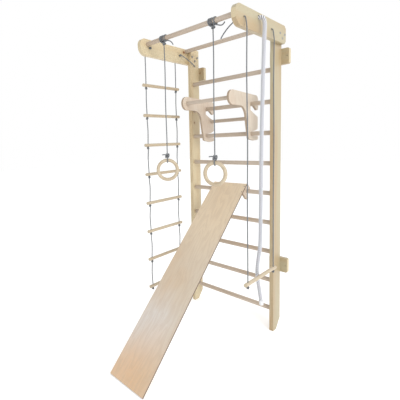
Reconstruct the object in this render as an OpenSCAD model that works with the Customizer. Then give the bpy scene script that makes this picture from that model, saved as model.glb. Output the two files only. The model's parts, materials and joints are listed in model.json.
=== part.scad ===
// Wall-bar gym for a child's room: two posts with nine rungs, two arms with a front bar,
// a hook-on slide board, a hook-on pull-up unit, rings, a rope ladder, a trapeze and a rope.
// Millimetres, +Z up, +Y towards the wall. The origin is on the floor, half-way across the
// frame and half-way between the wall and the foot of the slide.

/* [Wall frame] */
// Width over the outer faces of the posts
frame_w = 800; // [780:5:840]
// Height of the posts and of the arms' top edge
frame_h = 2330; // [2310:5:2350]
// Thickness of a post, across the frame
post_t = 32; // [30:1:36]
// Depth of a post, out from the wall
post_d = 115; // [110:1:122]
// Thickness of the blocks that hold the posts off the wall
block_t = 30; // [26:1:34]
// Diameter of a wall rung
rung_dia = 35; // [32:1:36]
// Height from one rung to the next
rung_pitch = 232; // [230:1:234]
// Height of the lowest rung
first_rung_z = 168; // [160:1:172]

/* [Arms] */
// Reach of the arms, out from the wall
arm_reach = 720; // [710:5:740]
// Height of an arm
arm_h = 128; // [124:1:132]
// Thickness of an arm
arm_t = 32; // [30:1:36]
// Diameter of the bars between the arms
bar_dia = 34; // [32:1:35]

/* [Slide] */
// Length of the slide board
slide_len = 1676; // [1660:2:1700]
// Width of the slide board
slide_w = 314; // [300:2:330]
// Thickness of the slide board
slide_t = 10; // [9:1:12]
// Thickness of each hook plate under the board
hook_t = 18; // [15:1:21]

/* [Pull-up unit] */
// Thickness of a bracket
bracket_t = 18; // [15:1:21]
// Diameter of the two bars between the brackets
grip_dia = 30; // [28:1:32]

/* [Rings, ladder and ropes] */
// Outer diameter of a ring
ring_dia = 176; // [170:2:184]
// Thickness of a ring's round section
ring_section = 26; // [24:1:28]
// Diameter of the braided cord
cord_dia = 8; // [7:0.5:8]
// Diameter of the ladder rungs and the trapeze stick
dowel_dia = 26; // [24:1:28]
// Diameter of the climbing rope
rope_dia = 28; // [27:1:30]

/* [Hidden] */
$fn = 64;
RUNGS = 9;
LADDER_RUNGS = 8;

LEFT = -1;
RIGHT = 1;
gap = 0.1;              // glue clearance round a bar, on the radius
turn_gap = 0.4;         // clearance round a bar that a knot turns on, on the radius
cord_gap = 0.75;        // clearance round a cord in its hole, on the radius
cord_end = 3;           // a knot's cord stops this far inside the hole, where the hanging cord begins

// Colours
pine = "#e6cf9f";
beech = "#d9bd97";
ply = "#dcbf99";
steel = "#6f6f6f";
cord_grey = "#8f949a";
rope_white = "#e9e9ee";

// Frame
rung_out = block_t + post_d - 36;            // rung axis, 36 mm in from the posts' front faces
inner_x = frame_w / 2 - post_t;              // inner faces of the posts
arm_x = frame_w / 2;                         // inner faces of the arms
arm_face = frame_w / 2 + arm_t;              // outer faces of the arms
arm_low = frame_h - arm_h;
socket = 22;                                 // depth of every blind socket
skirting_cut = [64, 72];                     // rear bottom corner cut away for a skirting board
front_bar_out = arm_reach - 75;
front_bar_z = frame_h - 40;
rear_bar_out = block_t + post_d + 25;
rear_bar_z = frame_h - 18;
arm_nose = [66, 50];                         // radii of the arm's lower and upper front corner
arm_rear_cut = 20;
arm_bolt_spots = [[block_t + 21, frame_h - 64], [block_t + 93, frame_h - 64],
                  [block_t + 58, frame_h - 96]];
bolt_dia = 8;
cord_hole_outs = [625, 260];                 // front and rear cord holes in each arm
cord_hole_z = frame_h - 66;
rope_hole_out = 435;
rope_hole_z = frame_h - 30;

// Wall blocks
block_size = [146, 115];
block_corner = 12;
block_heights = [515, 2122];
fixing_dia = 8;
fixing_offset = 58;                          // fixing holes, each side of the post's middle
block_screw_dia = 5;
block_screw_offset = 32;
block_screw_len = 62;

// Slide: its own axes are u, up along the board, and n, out of its upper face, from rung 5
slide_rung = 5;
slide_over = 40;                             // board beyond the rung, along u
slide_lift = 36;                             // underside of the board above the rung axis, along n
slide_below = slide_len - slide_over;
slide_rung_z = first_rung_z + (RUNGS - slide_rung) * rung_pitch;
slide_angle = asin(slide_rung_z / norm([slide_below, slide_lift])) + atan2(slide_lift, slide_below);
slide_reach = rung_out + slide_below * cos(slide_angle) + (slide_lift + slide_t) * sin(slide_angle);
hook_slot = rung_dia / 2 + 0.5;
batten_at = [-50, 12];                       // lower corner of the batten, in u and n
batten_size = [30, slide_lift - 12];
batten_tenon = 4;
slide_screw_us = [-46, 12];
slide_screw_len = 28;

// Everything is placed by its distance out from the wall
wall_y = slide_reach / 2;
function out(d) = wall_y - d;
function rung_z(i) = first_rung_z + (RUNGS - i) * rung_pitch;

// Pull-up unit: brackets on rungs 2 and 3, drawn from rung 2's axis
bracket_x = [-244, 201 - bracket_t];         // lower x of the left and of the right bracket
bracket_head = [-272, 35];                   // middle of the round head, where the bar sits
bracket_head_r = 54;
grip_at = [60, -106];
grip_socket = 10;
hook_clear = rung_dia / 2 + 0.5;

// Rings
ring_x = 220;
ring_zs = [1302, 1290];                      // heights of the left and right ring's middle
ring_turns = [38, 10];                       // how far each ring hangs turned on its cord
ring_mid_r = (ring_dia - ring_section) / 2;
winding_w = 62;
winding_t = cord_dia + 1;
bar_knot_r = 15;
bar_knot_drop = 34;
ring_knot_r = 19;
ring_knot_up = 22;                           // middle of the knot above the top of the ring
ring_swivel_up = ring_knot_up + 21;          // where the ring turns on its cord, above the ring

// Ladder and trapeze
hang_out = 20;                               // cords hang this far outside the arms
ladder_top_z = 1983;
ladder_pitch = 243;
dowel_over = 32;                             // dowel beyond each cord
trapeze_z = 566;
small_knot_r = 11;
small_knot_drop = dowel_dia / 2 + 10.2;
stopper_r = 11;
rope_knot_r = 28.5;
rope_end_len = 34;

// Routes of the cords, from their exits: [out from the arm, towards the wall, up].
// The ladder's and the trapeze's cords leave the arm level and turn down.
turn_down = [[0, 0, 0], [4, 0, 0], [10, 0, -1], [15, 0, -5], [19, 0, -10], [20, 0, -16]];
ladder_route = concat(turn_down, [
    [20, 0, -40], [20, 1, -150], [20, 0, -270], [20, 0, -325], [21, -2, -410], [20, 0, -515],
    [20, 0, -570], [19, 3, -650], [20, 0, -755], [20, 0, -815], [22, -3, -890], [20, 0, -1000],
    [20, 0, -1055], [18, 4, -1130], [20, 0, -1240], [20, 0, -1300], [22, -4, -1380], [20, 0, -1485],
    [20, 0, -1540], [18, 4, -1625], [20, 0, -1730], [20, 0, -1785], [22, -3, -1870], [20, 0, -1970],
    [20, 0, -2010]]);
trapeze_route = [
    [0, 0, 0], [4, 0, 0], [8, 0, -3], [11, 0, -9], [13, 0, -18], [15, 0, -30], [17, 0, -45],
    [19, 0, -60], [20, 0, -80], [20, -1, -120], [20, -4, -240], [20, -5, -360], [20, -3, -480],
    [20, 0, -600], [20, 2, -720], [20, 2, -840], [20, 0, -960], [20, -2, -1080], [20, -3, -1200],
    [20, -2, -1320], [20, -1, -1440], [20, 0, -1560], [20, 0, -1714]];
// A ring's cord, down from the front bar's axis
ring_route = [[0, 0, -40], [0, 0, -70], [0, 1, -120], [0, 2, -180], [0, 2, -240], [0, 1, -300],
    [0, 0, -360], [0, -1, -420], [0, -2, -480], [0, -2, -540], [0, -1, -600], [0, 0, -660],
    [0, 1, -720], [0, 1, -770], [0, 0, -820]];
// The loose end of each bar knot, from the middle of the knot: [along the bar, towards the wall, up]
bar_tail_routes = [
    [[10, -4, 6], [18, -5, 8], [26, -6, 9], [34, -7, 9], [42, -8, 8], [50, -9, 6], [58, -10, 3],
     [65, -10, 0], [72, -11, -4], [78, -11, -8], [84, -12, -13], [89, -12, -18], [93, -12, -23],
     [97, -12, -29], [100, -12, -35]],
    [[10, -4, 6], [17, -5, 6], [24, -6, 5], [31, -7, 3], [38, -8, 0], [45, -9, -3], [52, -10, -6],
     [59, -10, -9], [66, -11, -11], [73, -11, -12], [79, -12, -12], [84, -12, -10], [89, -12, -7],
     [93, -12, -3], [97, -12, 2]]];
// The short loose end of the knot above each ring, from the middle of the knot, in the same way
ring_tail_route = [[0, 0, 0], [-8, -5, 5], [-15, -9, 8], [-22, -13, 9], [-29, -17, 8], [-35, -20, 6]];
// The climbing rope bows out over the edge of its hole and is held in by the trapeze stick
rope_route = [[0, 0, 0], [8, 0, 0], [20, 0, -4], [29, 0, -13], [35, 0, -27], [38, 0, -44], [39, 0, -70],
    [36, 1, -120], [33, 2, -200], [29, 3, -300], [26, 3, -400], [24, 2, -500], [22, 0, -600],
    [20, -1, -700], [19, -2, -800], [18, -3, -900], [17, -4, -1000], [16, -5, -1100],
    [16, -6, -1200], [15, -7, -1300], [15, -8, -1400], [14, -9, -1470], [11, -9, -1530],
    [5, -10, -1580], [-2, -9, -1625], [-8, -8, -1670], [-11, -6, -1710], [-11, -3, -1745],
    [-8, 0, -1785], [-4, 4, -1825], [2, 9, -1880], [7, 13, -1925]];
// Loose ends beyond two of the stopper knots: [in from the arm's inner face, to the wall, up]
tail_left_route = [[18, 8, -2], [22, 16, -6], [26, 26, -11], [29, 38, -17], [32, 50, -23],
    [34, 62, -29], [36, 74, -35], [38, 86, -41], [40, 98, -47], [41, 110, -53], [42, 122, -59],
    [43, 134, -65], [43, 145, -71], [43, 156, -77], [42, 166, -84]];
tail_right_route = [[20, 0, -6], [30, 0, -10], [39, 0, -14], [48, 0, -18], [57, 0, -23],
    [66, 0, -28], [75, 0, -34], [83, 0, -40], [91, 0, -46], [99, 0, -53], [107, 0, -60],
    [114, 0, -67], [121, 0, -75], [128, 0, -83], [135, 0, -92]];

function arc(c, r, from, to, steps = 16) =
    [for (i = [0:steps]) let (a = from + (to - from) * i / steps) c + r * [cos(a), sin(a)]];
function unit(v) = v / norm(v);
function hang(route, side, y, z) = [for (p = route) [side * (arm_face + p[0]), y + p[1], z + p[2]]];

// A plate in the Y-Z plane, thickness t from x
module side_plate(x, t) {
    translate([x, 0, 0]) rotate([90, 0, 90]) linear_extrude(t) children();
}

// A bar or a hole along X
module cross_bar(x0, x1, y, z, dia) {
    translate([x0, y, z]) rotate([0, 90, 0]) cylinder(h = x1 - x0, d = dia);
}

// A bar or a hole along Y
module deep_bar(x, y0, y1, z, dia) {
    translate([x, y1, z]) rotate([90, 0, 0]) cylinder(h = y1 - y0, d = dia);
}

// A tube swept along a route; ref is a direction that the route never takes
module tube(route, dia, sides = 8, ref = [0, 1, 0]) {
    last = len(route) - 1;
    rings = [for (i = [0:last])
        let (t = unit(route[min(i + 1, last)] - route[max(i - 1, 0)]),
             n = unit(cross(ref, t)),
             b = cross(t, n))
        for (k = [0:sides - 1])
            route[i] + dia / 2 * (cos(360 * k / sides) * n + sin(360 * k / sides) * b)];
    walls = [for (i = [0:last - 1]) for (k = [0:sides - 1])
        let (j = (k + 1) % sides)
        [i * sides + k, (i + 1) * sides + k, (i + 1) * sides + j, i * sides + j]];
    ends = [[for (k = [0:sides - 1]) k], [for (k = [sides - 1:-1:0]) last * sides + k]];
    polyhedron(points = rings, faces = concat(walls, ends), convexity = 4);
}

// ---- Wall frame ----

module post(side) {
    x = side == LEFT ? -frame_w / 2 : inner_x;
    outline = [[out(block_t + post_d), 0], [out(block_t + skirting_cut[0]), 0],
               [out(block_t), skirting_cut[1]], [out(block_t), frame_h],
               [out(block_t + post_d), frame_h]];
    color(pine) difference() {
        side_plate(x, post_t) polygon(outline);
        for (i = [1:RUNGS])
            cross_bar(-inner_x - socket, inner_x + socket, out(rung_out), rung_z(i), rung_dia + 2 * gap);
        for (p = arm_bolt_spots)
            cross_bar(x - 1, x + post_t + 1, out(p[0]), p[1], bolt_dia + 2 * gap);
        for (z = block_heights) for (s = [-1, 1])
            deep_bar(x + post_t / 2, out(block_screw_len + 2), out(0), z + s * block_screw_offset,
                     block_screw_dia + 2 * gap);
    }
}

module wall_rung(i) {
    color(beech)
        cross_bar(-inner_x - socket + 1, inner_x + socket - 1, out(rung_out), rung_z(i), rung_dia);
}

module wall_block(side, z) {
    x = side * (frame_w - post_t) / 2;
    half = block_size / 2 - [block_corner, block_corner];
    color(pine) translate([x, out(0), z]) rotate([90, 0, 0]) difference() {
        linear_extrude(block_t) polygon([for (q = [[1, 1, 0], [-1, 1, 90], [-1, -1, 180], [1, -1, 270]])
            each arc([q[0] * half[0], q[1] * half[1]], block_corner, q[2], q[2] + 90, 8)]);
        for (s = [-1, 1]) {
            translate([s * fixing_offset, 0, -1]) cylinder(h = block_t + 2, d = fixing_dia);
            translate([0, s * block_screw_offset, 0]) {
                translate([0, 0, -1]) cylinder(h = block_t + 2, d = block_screw_dia + 2 * gap);
                translate([0, 0, -0.01]) cylinder(h = 3.01, d1 = 11.4, d2 = block_screw_dia + 0.4);
            }
        }
    }
}

module block_screws() {
    color(steel) for (side = [LEFT, RIGHT]) for (z = block_heights) for (s = [-1, 1])
        translate([side * (frame_w - post_t) / 2, out(0), z + s * block_screw_offset]) rotate([90, 0, 0])
            rotate_extrude() polygon([[0, 0.2], [5, 0.2], [block_screw_dia / 2, 3],
                [block_screw_dia / 2, block_screw_len - 6], [0, block_screw_len]]);
}

// ---- Arms ----

module arm(side) {
    x = side == LEFT ? -arm_face : arm_x;
    front = out(arm_reach);
    rear = out(block_t);
    outline = concat(
        arc([front + arm_nose[0], arm_low + arm_nose[0]], arm_nose[0], 270, 180),
        arc([front + arm_nose[1], frame_h - arm_nose[1]], arm_nose[1], 180, 90),
        [[rear - arm_rear_cut, frame_h], [rear, frame_h - arm_rear_cut],
         [rear, arm_low + arm_rear_cut], [rear - arm_rear_cut, arm_low]]);
    color(pine) difference() {
        side_plate(x, arm_t) polygon(outline);
        cross_bar(-arm_x - socket, arm_x + socket, out(front_bar_out), front_bar_z, bar_dia + 2 * gap);
        cross_bar(-arm_x - socket, arm_x + socket, out(rear_bar_out), rear_bar_z, bar_dia + 2 * gap);
        for (p = arm_bolt_spots)
            cross_bar(x - 1, x + arm_t + 1, out(p[0]), p[1], bolt_dia + 2 * gap);
        for (d = cord_hole_outs)
            cross_bar(x - 1, x + arm_t + 1, out(d), cord_hole_z, cord_dia + 2 * cord_gap);
        if (side == RIGHT)
            cross_bar(x - 1, x + arm_t + 1, out(rope_hole_out), rope_hole_z, rope_dia + 2 * cord_gap);
    }
}

module top_bar(d, z) {
    color(beech) cross_bar(-arm_x - socket + 1, arm_x + socket - 1, out(d), z, bar_dia);
}

// Domed heads lie on the arms' outer faces
module arm_bolts() {
    color(steel) for (side = [LEFT, RIGHT]) for (p = arm_bolt_spots)
        translate([side * arm_face, out(p[0]), p[1]]) rotate([0, -side * 90, 0])
            rotate_extrude() polygon(concat(arc([0, 9], 14, -90, -55, 8),
                [[9, 0], [bolt_dia / 2, 0], [bolt_dia / 2, arm_t + post_t + 7], [0, arm_t + post_t + 7]]));
}

// Nuts with their washers lie on the posts' inner faces
module arm_nuts() {
    color(steel) for (side = [LEFT, RIGHT]) for (p = arm_bolt_spots)
        translate([side * inner_x, out(p[0]), p[1]]) rotate([0, -side * 90, 0]) difference() {
            union() {
                cylinder(h = 1.6, d = 20);
                cylinder(h = 8, d = 14.8, $fn = 6);
            }
            translate([0, 0, -1]) cylinder(h = 12, d = bolt_dia + 2 * gap);
        }
}

// ---- Rings ----

module ring(side, i) {
    color(beech) translate([side * ring_x, out(front_bar_out), ring_zs[i]]) rotate([90, 0, ring_turns[i]])
        rotate_extrude() translate([ring_mid_r, 0]) circle(d = ring_section);
}

module ring_cord(side, i) {
    start = [side * ring_x, out(front_bar_out), front_bar_z];
    foot = [start[0], start[1], ring_zs[i] + ring_dia / 2 + ring_swivel_up + 0.3];
    color(cord_grey) tube(concat([for (p = ring_route) start + p], [foot]), cord_dia);
}

// Turns of cord round the bar, with the knot under it and the knot's loose end
module bar_knot(side, i) {
    x = side * ring_x;
    y = out(front_bar_out);
    knot = [x, y, front_bar_z - bar_knot_drop];
    color(cord_grey) difference() {
        union() {
            cross_bar(x - winding_w / 2, x + winding_w / 2, y, front_bar_z, bar_dia + 2 * winding_t);
            translate(knot) sphere(bar_knot_r);
            tube([for (p = bar_tail_routes[i]) knot + p], cord_dia);
        }
        cross_bar(x - winding_w, x + winding_w, y, front_bar_z, bar_dia + 2 * turn_gap);
    }
}

// The loop of cord round the ring and the knot above it
module ring_knot(side, i) {
    top = ring_zs[i] + ring_dia / 2;
    loop_r = ring_section / 2 + turn_gap + cord_dia / 2;
    color(cord_grey) translate([side * ring_x, out(front_bar_out), 0]) {
        translate([0, 0, top - ring_section / 2]) rotate([0, 90, ring_turns[i]])
            rotate_extrude() translate([loop_r, 0]) circle(d = cord_dia, $fn = 24);
        translate([0, 0, top + ring_knot_up]) {
            sphere(ring_knot_r);
            cylinder(h = ring_swivel_up - ring_knot_up, d = cord_dia);
            tube(ring_tail_route, cord_dia);
        }
    }
}

// ---- Rope ladder, trapeze and climbing rope ----

// A dowel along Y with a hole for each of its two cords
module drilled_dowel(side, z) {
    x = side * (arm_face + hang_out);
    color(beech) difference() {
        deep_bar(x, out(cord_hole_outs[0] + dowel_over), out(cord_hole_outs[1] - dowel_over), z, dowel_dia);
        for (d = cord_hole_outs)
            translate([x, out(d), z - dowel_dia]) cylinder(h = 2 * dowel_dia, d = cord_dia + 2 * cord_gap);
    }
}

function ladder_rung_z(i) = ladder_top_z - (i - 1) * ladder_pitch;

// A cord from its hole in an arm; hole 0 is the front one
module hung_cord(route, side, hole) {
    color(cord_grey) tube(hang(route, side, out(cord_hole_outs[hole]), cord_hole_z), cord_dia);
}

module ladder_knots() {
    color(cord_grey) for (i = [1:LADDER_RUNGS]) for (d = cord_hole_outs)
        translate([-arm_face - hang_out, out(d), ladder_rung_z(i) - small_knot_drop]) sphere(small_knot_r);
}

module trapeze_knots() {
    color(cord_grey) for (d = cord_hole_outs)
        translate([arm_face + hang_out, out(d), trapeze_z - small_knot_drop]) sphere(small_knot_r);
}

module climbing_rope() {
    color(rope_white) tube(hang(rope_route, RIGHT, out(rope_hole_out), rope_hole_z), rope_dia, 12);
}

// The whipping on the rope's lower end
module climbing_rope_end() {
    foot = hang(rope_route, RIGHT, out(rope_hole_out), rope_hole_z);
    last = foot[len(foot) - 1];
    along = unit(last - foot[len(foot) - 2]);
    color(rope_white) translate(last) rotate([0, acos(along[2]), atan2(along[1], along[0])])
        cylinder(h = rope_end_len, d = rope_dia + 1);
}

// The knot against the arm's inner face, with the rope through the hole
module climbing_rope_knot() {
    middle = [arm_x - rope_knot_r - 1, out(rope_hole_out), rope_hole_z];
    color(rope_white) translate(middle) rotate([0, 90, 0]) {
        sphere(rope_knot_r);
        cylinder(h = rope_knot_r + 1 + arm_t - 0.3, d = rope_dia);
    }
}

module cord_stopper_knots() {
    color(cord_grey) for (side = [LEFT, RIGHT]) for (d = cord_hole_outs)
        translate([side * (arm_x - stopper_r - 1), out(d), cord_hole_z]) {
            sphere(stopper_r);
            rotate([0, side * 90, 0]) cylinder(h = stopper_r + 1 + arm_t - cord_end, d = cord_dia);
        }
}

module cord_tail(side, route, d) {
    points = [for (p = route) [side * (arm_x - p[0]), out(d) + p[1], cord_hole_z + p[2]]];
    color(cord_grey) tube(points, cord_dia, 8, side == LEFT ? [0, 0, 1] : [0, 1, 0]);
}

// ---- Pull-up unit ----

// A bracket's side, drawn from rung 2: head, hook over rung 2, slot for rung 3, toe and front edge
bracket_outline = let (bay = 213.5, back = 98) concat(
    arc(bracket_head, bracket_head_r, 270, 90),
    arc([66, 34], 38, 85, 0, 10),
    arc([86, -26], 18, 0, -105, 8),
    arc([0, 0], hook_clear, 0, 180, 24),
    [[-hook_clear, -46], [34, -72], [back, -98]],
    arc([0, 0], bay, atan2(-sqrt(bay * bay - back * back), back), -90, 10),
    arc([0, -rung_pitch], hook_clear, 90, 270, 16),
    arc([88, -rung_pitch - hook_clear - 16], 16, 90, -60, 8),
    [[40, -286], [-16, -278]],
    arc([-38, -262], 10, 250, 190, 4),
    arc([-168, -106], 86, 0, 90, 12));

module bracket(i) {
    color(ply) translate([bracket_x[i], out(rung_out), rung_z(2)]) rotate([90, 0, 90]) difference() {
        linear_extrude(bracket_t) polygon(bracket_outline);
        for (p = [bracket_head, grip_at])
            translate([p[0], p[1], i == 0 ? bracket_t - grip_socket : -1])
                cylinder(h = grip_socket + 1, d = grip_dia + 2 * gap);
    }
}

module pullup_cross_bar(p) {
    color(beech) cross_bar(bracket_x[0] + bracket_t - grip_socket + 1, bracket_x[1] + grip_socket - 2,
                           out(rung_out) + p[0], rung_z(2) + p[1], grip_dia);
}

// ---- Slide ----

// Children are placed by x, u and n
module on_slide() {
    translate([0, out(rung_out), slide_rung_z]) rotate([slide_angle, 0, 0]) children();
}

module slide_screw_holes(depth) {
    for (side = [LEFT, RIGHT]) for (u = slide_screw_us)
        translate([side * (slide_w - hook_t) / 2, u, slide_lift + slide_t - depth])
            cylinder(h = depth + 1, d = 4 + 2 * gap);
}

module slide_board() {
    color(ply) on_slide() difference() {
        translate([-slide_w / 2, -slide_below, slide_lift]) cube([slide_w, slide_len, slide_t]);
        slide_screw_holes(slide_t + 1);
        for (side = [LEFT, RIGHT]) for (u = slide_screw_us)
            translate([side * (slide_w - hook_t) / 2, u, slide_lift + slide_t - 3])
                cylinder(h = 3.01, d1 = 4.4, d2 = 9.4);
    }
}

// A hook plate: a front leg, a slot that opens away from the board, and a lip behind the rung
module slide_hook(side) {
    outline = concat(
        [[slide_over, slide_lift], [-54, slide_lift]],
        arc([-31, -40], 20, 195, 300, 8),
        [[-hook_slot, -46]],
        arc([0, 0], hook_slot, 180, 0, 24),
        [[hook_slot + 4, -22]],
        arc([40, -18], 12, 230, 360, 8),
        arc([24, 8], 28, 0, 60, 8));
    x = side == LEFT ? -slide_w / 2 : slide_w / 2 - hook_t;
    color(ply) on_slide() difference() {
        side_plate(x, hook_t) polygon(outline);
        slide_screw_holes(slide_screw_len + 1);
        translate([-slide_w / 2 + hook_t - batten_tenon - 1, batten_at[0] - gap, batten_at[1] - gap])
            cube([slide_w - 2 * (hook_t - batten_tenon - 1), batten_size[0] + 2 * gap, batten_size[1] + 1]);
    }
}

module slide_batten() {
    color(ply) on_slide()
        translate([-slide_w / 2 + hook_t - batten_tenon, batten_at[0], batten_at[1]])
            cube([slide_w - 2 * (hook_t - batten_tenon), batten_size[0], batten_size[1]]);
}

module slide_screws() {
    top = slide_lift + slide_t;
    color(steel) on_slide() for (side = [LEFT, RIGHT]) for (u = slide_screw_us)
        translate([side * (slide_w - hook_t) / 2, u, 0]) rotate_extrude()
            polygon([[0, top - 0.3], [4, top - 0.3], [2, top - 3], [2, top - slide_screw_len + 4],
                [0, top - slide_screw_len]]);
}

post(LEFT);  // post_left
post(RIGHT);  // post_right
for (i = [1:RUNGS]) wall_rung(i);
arm(LEFT);  // arm_left
arm(RIGHT);  // arm_right
top_bar(front_bar_out, front_bar_z);  // front_bar
top_bar(rear_bar_out, rear_bar_z);  // rear_bar
wall_block(LEFT, block_heights[1]);  // wall_block_upper_left
wall_block(RIGHT, block_heights[1]);  // wall_block_upper_right
wall_block(LEFT, block_heights[0]);  // wall_block_lower_left
wall_block(RIGHT, block_heights[0]);  // wall_block_lower_right
arm_bolts();
arm_nuts();
block_screws();
ring(LEFT, 0);  // ring_left
ring(RIGHT, 1);  // ring_right
ring_cord(LEFT, 0);  // ring_cord_left
ring_cord(RIGHT, 1);  // ring_cord_right
bar_knot(LEFT, 0);  // bar_knot_left
bar_knot(RIGHT, 1);  // bar_knot_right
ring_knot(LEFT, 0);  // ring_knot_left
ring_knot(RIGHT, 1);  // ring_knot_right
hung_cord(ladder_route, LEFT, 0);  // ladder_rope_front
hung_cord(ladder_route, LEFT, 1);  // ladder_rope_rear
ladder_knots();
for (i = [1:LADDER_RUNGS])
    drilled_dowel(LEFT, ladder_rung_z(i));
drilled_dowel(RIGHT, trapeze_z);  // trapeze_stick
hung_cord(trapeze_route, RIGHT, 0);  // trapeze_rope_front
hung_cord(trapeze_route, RIGHT, 1);  // trapeze_rope_rear
trapeze_knots();
climbing_rope();
climbing_rope_end();
climbing_rope_knot();
cord_stopper_knots();
cord_tail(LEFT, tail_left_route, cord_hole_outs[1]);  // cord_tail_left
cord_tail(RIGHT, tail_right_route, cord_hole_outs[0]);  // cord_tail_right
bracket(0);  // pullup_bracket_left
bracket(1);  // pullup_bracket_right
pullup_cross_bar(bracket_head);  // pullup_bar
pullup_cross_bar(grip_at);  // pullup_grip_bar
slide_board();
slide_hook(LEFT);  // slide_hook_left
slide_hook(RIGHT);  // slide_hook_right
slide_batten();
slide_screws();
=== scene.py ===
"""Wall-bar gym with a hook-on slide: the looks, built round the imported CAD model.
Metres, +Z up, +Y towards the wall."""
import json
import math

import bmesh
import bpy
from mathutils import Matrix, Vector


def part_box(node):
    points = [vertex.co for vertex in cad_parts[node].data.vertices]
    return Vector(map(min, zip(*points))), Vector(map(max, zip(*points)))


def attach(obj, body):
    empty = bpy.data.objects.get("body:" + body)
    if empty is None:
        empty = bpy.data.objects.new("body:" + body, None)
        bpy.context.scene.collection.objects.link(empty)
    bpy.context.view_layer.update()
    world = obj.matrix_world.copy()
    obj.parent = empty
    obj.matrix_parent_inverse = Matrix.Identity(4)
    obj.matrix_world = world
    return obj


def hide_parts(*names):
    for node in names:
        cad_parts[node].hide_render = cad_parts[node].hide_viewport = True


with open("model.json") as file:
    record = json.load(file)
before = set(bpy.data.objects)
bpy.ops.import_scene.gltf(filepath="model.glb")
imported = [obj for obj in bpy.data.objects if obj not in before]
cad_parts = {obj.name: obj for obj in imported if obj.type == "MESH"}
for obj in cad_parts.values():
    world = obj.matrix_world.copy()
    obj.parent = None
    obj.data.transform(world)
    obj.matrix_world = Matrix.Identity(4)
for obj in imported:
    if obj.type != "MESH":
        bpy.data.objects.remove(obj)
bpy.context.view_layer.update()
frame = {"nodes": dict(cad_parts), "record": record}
record = frame["record"]

# ---- Sizes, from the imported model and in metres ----

LEFT, RIGHT = -1, 1
WIDE, DEEP, UP = Vector((1, 0, 0)), Vector((0, 1, 0)), Vector((0, 0, 1))
SIDES = {"left": LEFT, "right": RIGHT}
BODY = {node: body for body, nodes in record["behaviour"]["bodies"].items() for node in nodes}


def middle(node):
    low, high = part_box(node)
    return (Vector(low) + Vector(high)) / 2


def size(node):
    low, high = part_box(node)
    return Vector(high) - Vector(low)


CORD = 0.008
ROPE = 0.028
ROPE_PITCH, ROPE_STRANDS = 0.064, 4
CORD_STEP, CORD_SIDES = 0.0025, 16       # of the tubes' meshes
ROPE_STEP, ROPE_SIDES = 0.004, 32
TURN_GAP = 0.0004                        # between a turn of cord and what it goes round
RUNG_KNOT_R, RUNG_KNOT_TALL, RUNG_KNOT_DROP = 0.0115, 0.0105, 0.0232
STOPPER_R, STOPPER_TALL, STOPPER_IN = 0.0112, 0.0108, 0.012
BAR_KNOT_R, BAR_KNOT_TALL, BAR_KNOT_DROP = 0.0150, 0.0140, 0.034
RING_KNOT_R, RING_KNOT_TALL, RING_KNOT_UP = 0.0190, 0.0185, 0.022
LOOP_POINTS, LOOP_SLANT = 44, 0.0025
ROPE_KNOT_R, ROPE_KNOT_TALL, ROPE_KNOT_STRAND = 0.0285, 0.0270, 0.0098
RING_TURNS = {"left": 38, "right": 10}   # degrees about the vertical
post_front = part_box("post_right")[0][1]
arm_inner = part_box("arm_right")[0][0]
arm_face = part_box("arm_right")[1][0]
bar_y, bar_z = middle("front_bar").y, middle("front_bar").z
bar_r = size("front_bar").z / 2
ring_section = 0.026
cord_hole_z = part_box("ladder_rope_front")[1][2] - CORD / 2
hole_ys = {"front": middle("ladder_rope_front").y, "rear": middle("ladder_rope_rear").y}
rope_hole_y = middle("climbing_rope_knot").y
rope_hole_z = middle("climbing_rope_knot").z
rung_axis = middle("wall_rung_5")

# ---- Camera ----

camera = bpy.data.objects.new("camera", bpy.data.cameras.new("camera"))
bpy.context.collection.objects.link(camera)
camera.data.sensor_width = 36
camera.data.lens = 29.17
camera.data.shift_x = 0.129
camera.data.shift_y = -0.058
camera.matrix_world = (
    Matrix.Translation((1.501, post_front - 2.353, 1.515))
    @ Matrix.Rotation(math.radians(46.35), 4, "Z")
    @ Matrix.Rotation(math.radians(90 - 5.94), 4, "X")
    @ Matrix.Rotation(math.radians(-2.03), 4, "Z")
)
bpy.context.scene.camera = camera

# ---- Routes of the cords, from their exits: out from the arm, towards the wall, up ----

TURN_DOWN = [
    (0, 0, 0), (0.004, 0, 0), (0.010, 0, -0.001), (0.015, 0, -0.005), (0.019, 0, -0.010),
    (0.020, 0, -0.016)]
LADDER_ROUTE = TURN_DOWN + [
    (0.020, 0, -0.040), (0.020, 0.001, -0.150), (0.020, 0, -0.270), (0.020, 0, -0.325),
    (0.021, -0.002, -0.410), (0.020, 0, -0.515), (0.020, 0, -0.570), (0.019, 0.003, -0.650),
    (0.020, 0, -0.755), (0.020, 0, -0.815), (0.022, -0.003, -0.890), (0.020, 0, -1.000),
    (0.020, 0, -1.055), (0.018, 0.004, -1.130), (0.020, 0, -1.240), (0.020, 0, -1.300),
    (0.022, -0.004, -1.380), (0.020, 0, -1.485), (0.020, 0, -1.540), (0.018, 0.004, -1.625),
    (0.020, 0, -1.730), (0.020, 0, -1.785), (0.022, -0.003, -1.870), (0.020, 0, -1.970),
    (0.020, 0, -2.010)]
TRAPEZE_ROUTE = [
    (0, 0, 0), (0.004, 0, 0), (0.008, 0, -0.003), (0.011, 0, -0.009), (0.013, 0, -0.018),
    (0.015, 0, -0.030), (0.017, 0, -0.045), (0.019, 0, -0.060), (0.020, 0, -0.080),
    (0.020, -0.001, -0.120), (0.020, -0.004, -0.240), (0.020, -0.005, -0.360), (0.020, -0.003, -0.480),
    (0.020, 0, -0.600), (0.020, 0.002, -0.720), (0.020, 0.002, -0.840), (0.020, 0, -0.960),
    (0.020, -0.002, -1.080), (0.020, -0.003, -1.200), (0.020, -0.002, -1.320), (0.020, -0.001, -1.440),
    (0.020, 0, -1.560), (0.020, 0, -1.714)]
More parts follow.
